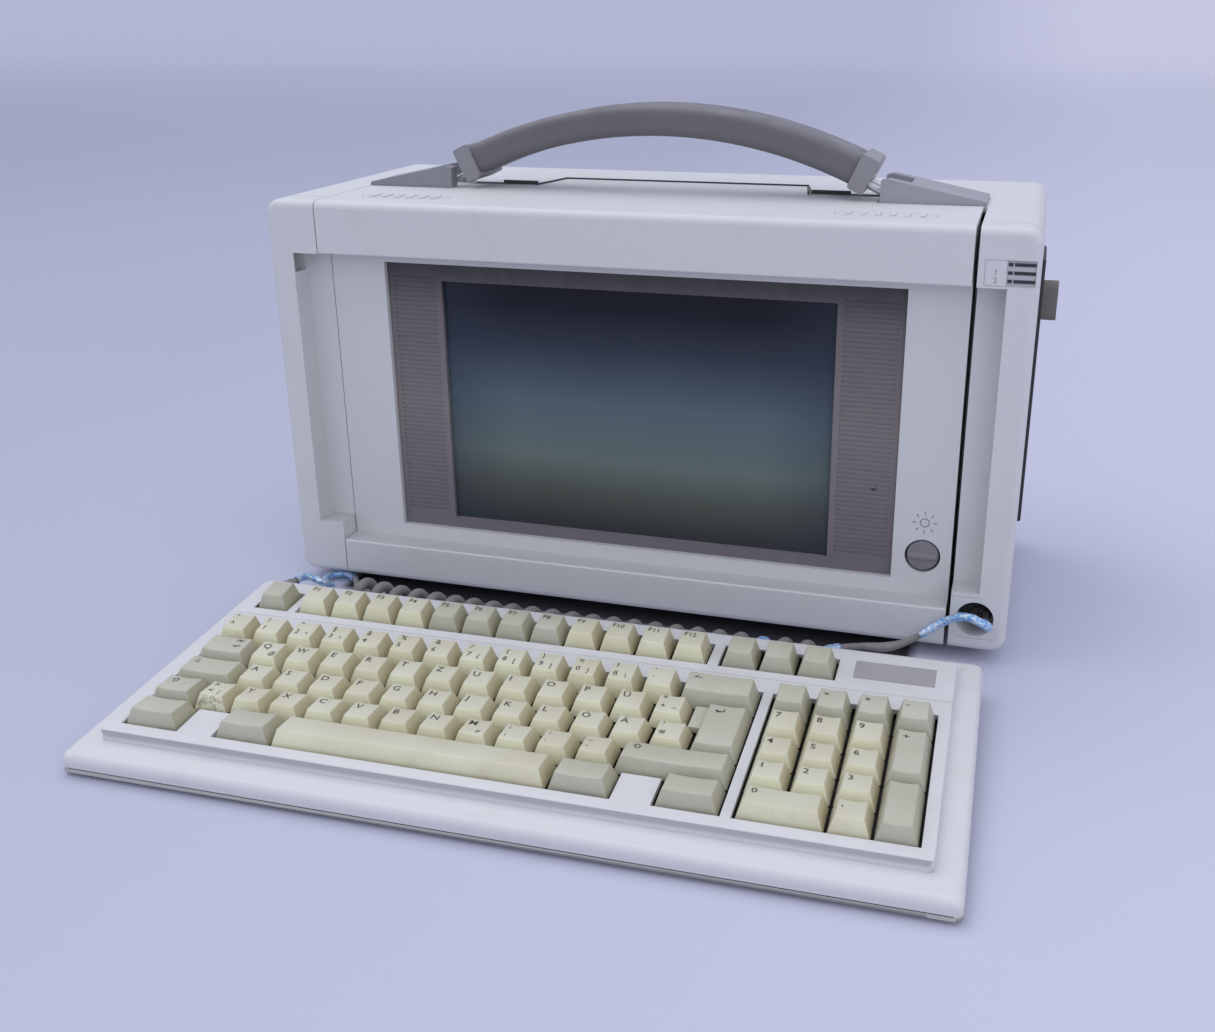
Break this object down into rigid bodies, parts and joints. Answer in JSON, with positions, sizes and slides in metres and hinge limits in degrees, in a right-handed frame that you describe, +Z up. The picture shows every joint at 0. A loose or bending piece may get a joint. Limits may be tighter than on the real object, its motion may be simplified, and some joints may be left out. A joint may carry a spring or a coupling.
{
  "type": "vintage luggable computer",
  "caption": "Portable plasma-screen computer from the late 1980s with a fold-up keyboard, carrying handle and curly keyboard cord, opened for use",
  "frame": {"origin": "the middle of the footprint, on the table", "axes": "+X to the right of someone at the keyboard, +Y to the back of the case, +Z up"},
  "size_m": [0.4166, 0.3958, 0.2715],
  "materials": {
    "case_plastic": "pale warm grey moulded ABS with a fine spark texture, slightly worn at the edges",
    "grey_plastic": "mid grey moulded plastic",
    "cream_keys": "cream key caps, satin tops, yellowed a little, dark printed legends",
    "grey_keys": "warm grey key caps, satin tops",
    "black_plastic": "black moulded plastic",
    "dark_ports": "tinned connector shells",
    "screen_frame": "dark grey-purple frame with fine horizontal ribs beside the glass",
    "screen_glass": "dark filter glass, semi-gloss",
    "panel": "plasma panel, dark when off",
    "circuit_board": "green circuit board",
    "plated_steel": "zinc-plated sheet steel",
    "handle_grip": "mid grey rubbery grip, satin, scuffed",
    "handle_ferrules": "grey-brown end caps, semi-gloss",
    "rubber_feet": "black rubber",
    "cord_sheath": "grey-brown curly cord sheath; blue and silver foil shows where the sheath has perished",
    "status_lights": "dark indicator windows"
  },
  "bodies": {
    "root": {"front_pillar_left": "case_plastic", "front_pillar_right": "case_plastic", "rear_shell": "case_plastic", "base_pan": "case_plastic", "case_feet": "rubber_feet", "case_screws": "plated_steel", "status_lights": "status_lights", "cord_socket": "black_plastic", "chassis_plate": "plated_steel", "main_board": "circuit_board", "power_supply": "plated_steel", "power_inlet": "black_plastic", "parallel_port": "dark_ports", "serial_port": "dark_ports", "video_port": "dark_ports", "hard_drive": "plated_steel", "fan_frame": "grey_plastic", "floppy_drive": "black_plastic", "handle_bracket_left": "grey_plastic", "handle_bracket_right": "grey_plastic", "cord_coil": "cord_sheath", "cord_keyboard_lead": "cord_sheath", "cord_case_lead": "cord_sheath"},
    "fan_rotor_body": {"fan_rotor": "grey_plastic"},
    "floppy_lever_body": {"floppy_lever": "black_plastic"},
    "power_switch_body": {"power_switch": "black_plastic"},
    "handle": {"handle_grip": "handle_grip", "handle_ferrules": "handle_ferrules", "handle_strap": "plated_steel", "handle_links": "plated_steel"},
    "arms": {"display_arms": "plated_steel"},
    "display": {"display_front": "case_plastic", "display_back": "case_plastic", "screen_frame": "screen_frame", "screen_glass": "screen_glass", "plasma_panel": "panel", "display_board": "circuit_board"},
    "knob": {"brightness_knob": "grey_plastic"},
    "release_left": {"release_button_left": "grey_plastic"},
    "release_right": {"release_button_right": "grey_plastic"},
    "keyboard": {"keyboard_top": "case_plastic", "keyboard_base": "case_plastic", "key_plate": "plated_steel", "keyboard_board": "circuit_board", "keyboard_pads": "rubber_feet", "keyboard_badge": "grey_plastic", "keyboard_gland": "cord_sheath"},
    "keyboard_foot_left_body": {"keyboard_foot_left": "grey_plastic"},
    "keyboard_foot_right_body": {"keyboard_foot_right": "grey_plastic"},
    "keyboard_latch_left_body": {"keyboard_latch_left": "plated_steel"},
    "keyboard_latch_right_body": {"keyboard_latch_right": "plated_steel"},
    "space_bar_body": {"space_bar": "cream_keys"},
    "enter_key_body": {"enter_key": "grey_keys"},
    "keys_function_body": {"keys_function": "cream_keys"},
    "keys_numbers_body": {"keys_numbers": "cream_keys"},
    "keys_upper_body": {"keys_upper": "cream_keys"},
    "keys_home_body": {"keys_home": "cream_keys"},
    "keys_lower_body": {"keys_lower": "cream_keys"},
    "keys_control_body": {"keys_control": "grey_keys"},
    "keypad_keys_body": {"keypad_keys": "cream_keys"}
  },
  "joints": [
    {"name": "keyboard_stow", "type": "hinge", "parent": "root", "child": "keyboard", "pos_m": [-0.00525, 0.00841, 0.00933], "axis": [-0.9999, -0.0079, -0.0075], "range_deg": [0, 93], "deforming": ["cord_coil", "cord_keyboard_lead", "cord_case_lead"]},
    {"name": "display_swing", "type": "hinge", "parent": "root", "child": "arms", "pos_m": [-0.00525, 0.0789, 0.11], "axis": [1, 0, 0], "range_deg": [-32, 0], "deforming": ["cord_coil", "cord_keyboard_lead", "cord_case_lead"]},
    {"name": "display_level", "type": "hinge", "parent": "arms", "child": "display", "pos_m": [-0.00525, 0.0789, 0.045], "axis": [1, 0, 0], "range_deg": [0, 32]},
    {"name": "brightness_turn", "type": "hinge", "parent": "display", "child": "knob", "pos_m": [0.15225, 0.0379, 0.051], "axis": [0, 1, 0], "range_deg": [-135, 135]},
    {"name": "release_press_left", "type": "slide", "parent": "display", "child": "release_left", "axis": [0, 0, -1], "range_m": [0, 0.0025], "stiffness_N_per_m": 400, "springref_m": -0.002},
    {"name": "release_press_right", "type": "slide", "parent": "display", "child": "release_right", "axis": [0, 0, -1], "range_m": [0, 0.0025], "stiffness_N_per_m": 400, "springref_m": -0.002},
    {"name": "handle_flex", "type": "slide", "parent": "root", "child": "handle", "axis": [0, 0, 1], "range_m": [-0.0015, 0], "stiffness_N_per_m": 3000, "springref_m": 0.001},
    {"name": "fan_spin", "type": "hinge", "parent": "root", "child": "fan_rotor_body", "pos_m": [0.00475, 0.1819, 0.15], "axis": [0, 1, 0], "continuous": true},
    {"name": "drive_lever_turn", "type": "hinge", "parent": "root", "child": "floppy_lever_body", "pos_m": [0.19975, 0.1369, 0.168], "axis": [1, 0, 0], "range_deg": [0, 90]},
    {"name": "power_rocker", "type": "hinge", "parent": "root", "child": "power_switch_body", "pos_m": [0.19225, 0.1689, 0.025], "axis": [0, -1, 0], "range_deg": [0, 16]},
    {"name": "keyboard_foot_fold_left", "type": "hinge", "parent": "keyboard", "child": "keyboard_foot_left_body", "pos_m": [-0.15782, -0.03246, 0.01211], "axis": [-0.9999, -0.0157, 0], "range_deg": [0, 90]},
    {"name": "keyboard_foot_fold_right", "type": "hinge", "parent": "keyboard", "child": "keyboard_foot_right_body", "pos_m": [0.14215, -0.02774, 0.01211], "axis": [-0.9999, -0.0157, 0], "range_deg": [0, 90]},
    {"name": "keyboard_catch_left", "type": "slide", "parent": "keyboard", "child": "keyboard_latch_left_body", "axis": [0.9999, 0.0157, 0], "range_m": [-0.009, 0]},
    {"name": "keyboard_catch_right", "type": "slide", "parent": "keyboard", "child": "keyboard_latch_right_body", "axis": [-0.9999, -0.0157, 0], "range_m": [-0.009, 0]},
    {"name": "space_bar_press", "type": "slide", "parent": "keyboard", "child": "space_bar_body", "axis": [-0.0008, 0.0523, -0.9986], "range_m": [0, 0.0035], "stiffness_N_per_m": 400, "springref_m": -0.003},
    {"name": "enter_key_press", "type": "slide", "parent": "keyboard", "child": "enter_key_body", "axis": [-0.0008, 0.0523, -0.9986], "range_m": [0, 0.0035], "stiffness_N_per_m": 400, "springref_m": -0.003},
    {"name": "keys_function_press", "type": "slide", "parent": "keyboard", "child": "keys_function_body", "axis": [-0.0008, 0.0523, -0.9986], "range_m": [0, 0.0035], "stiffness_N_per_m": 400, "springref_m": -0.003},
    {"name": "keys_numbers_press", "type": "slide", "parent": "keyboard", "child": "keys_numbers_body", "axis": [-0.0008, 0.0523, -0.9986], "range_m": [0, 0.0035], "stiffness_N_per_m": 400, "springref_m": -0.003},
    {"name": "keys_upper_press", "type": "slide", "parent": "keyboard", "child": "keys_upper_body", "axis": [-0.0008, 0.0523, -0.9986], "range_m": [0, 0.0035], "stiffness_N_per_m": 400, "springref_m": -0.003},
    {"name": "keys_home_press", "type": "slide", "parent": "keyboard", "child": "keys_home_body", "axis": [-0.0008, 0.0523, -0.9986], "range_m": [0, 0.0035], "stiffness_N_per_m": 400, "springref_m": -0.003},
    {"name": "keys_lower_press", "type": "slide", "parent": "keyboard", "child": "keys_lower_body", "axis": [-0.0008, 0.0523, -0.9986], "range_m": [0, 0.0035], "stiffness_N_per_m": 400, "springref_m": -0.003},
    {"name": "keys_control_press", "type": "slide", "parent": "keyboard", "child": "keys_control_body", "axis": [-0.0008, 0.0523, -0.9986], "range_m": [0, 0.0035], "stiffness_N_per_m": 400, "springref_m": -0.003},
    {"name": "keypad_keys_press", "type": "slide", "parent": "keyboard", "child": "keypad_keys_body", "axis": [-0.0008, 0.0523, -0.9986], "range_m": [0, 0.0035], "stiffness_N_per_m": 400, "springref_m": -0.003}
  ],
  "couplings": [
    {"joint": "display_level", "follows": "display_swing", "ratio": -1}
  ]
}
